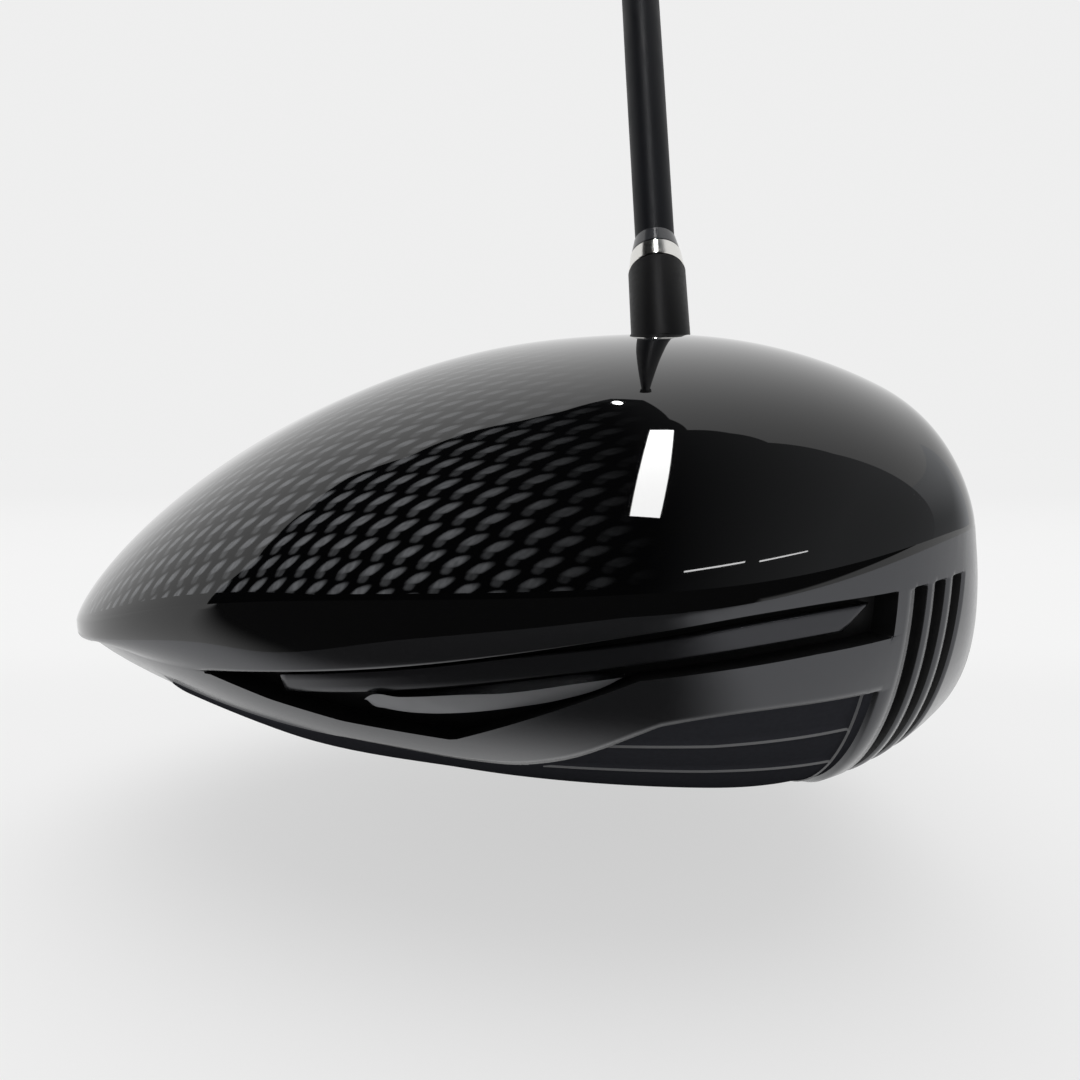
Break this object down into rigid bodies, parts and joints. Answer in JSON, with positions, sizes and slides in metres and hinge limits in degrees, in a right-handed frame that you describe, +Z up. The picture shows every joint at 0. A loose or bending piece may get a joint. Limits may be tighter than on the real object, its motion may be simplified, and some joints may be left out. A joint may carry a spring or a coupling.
{
  "type": "golf driver",
  "caption": "Right-handed golf driver: hollow head with carbon crown, slotted sole collar, side recesses with bright inserts, bolt-on sleeve, tapered shaft and rubber grip.",
  "frame": {"origin": "the middle of the flat on the sole, where the head rests on the ground at address", "axes": "+X the way the face looks, towards the target; +Y towards the heel and the hands; +Z up"},
  "size_m": [0.1187, 0.6991, 0.996],
  "materials": {
    "body_coat": "gloss",
    "carbon": "gloss",
    "face_metal": "satin",
    "sole_navy": "satin",
    "bright": "polished",
    "weight_metal": "satin",
    "fastener": "satin",
    "sleeve_black": "gloss",
    "ferrule_grey": "satin",
    "shaft_black": "gloss",
    "tape": "matte",
    "grip_rubber": "matte"
  },
  "bodies": {
    "shaft_assembly": {"hosel_sleeve": "sleeve_black", "ferrule_ring": "bright", "ferrule": "ferrule_grey", "shaft": "shaft_black", "grip_tape": "tape", "grip": "grip_rubber", "grip_cap": "grip_rubber"},
    "head": {"head_body": "body_coat", "crown_panel": "carbon", "face_plate": "face_metal", "sole_panel": "sole_navy", "toe_trim": "bright", "heel_trim": "bright"},
    "hosel_bolt": {"hosel_bolt": "fastener", "bolt_washer": "fastener", "bolt_retainer": "fastener"},
    "rear_weight": {"rear_weight": "weight_metal"},
    "rear_weight_screw": {"rear_weight_screw": "fastener"}
  },
  "joints": [
    {"name": "head_release", "type": "slide", "parent": "shaft_assembly", "child": "head", "axis": [0, -0.515, -0.8572], "range_m": [0, 0.008]},
    {"name": "hosel_bolt_turn", "type": "hinge", "parent": "head", "child": "hosel_bolt", "pos_m": [0.00445, 0.0423, 0.01714], "axis": [0, -0.515, -0.8572], "range_deg": [0, 3601]},
    {"name": "rear_weight_lift", "type": "slide", "parent": "head", "child": "rear_weight", "axis": [-0.309, 0, -0.9511], "range_m": [0, 0.0048]},
    {"name": "rear_screw_turn", "type": "hinge", "parent": "rear_weight", "child": "rear_weight_screw", "pos_m": [-0.06, 0, 0.0087], "axis": [-0.309, 0, -0.9511], "range_deg": [0, 2161]}
  ],
  "couplings": [
    {"joint": "hosel_bolt_turn", "follows": "head_release", "rad_per_m": 7854},
    {"joint": "rear_screw_turn", "follows": "rear_weight_lift", "rad_per_m": 7854}
  ]
}
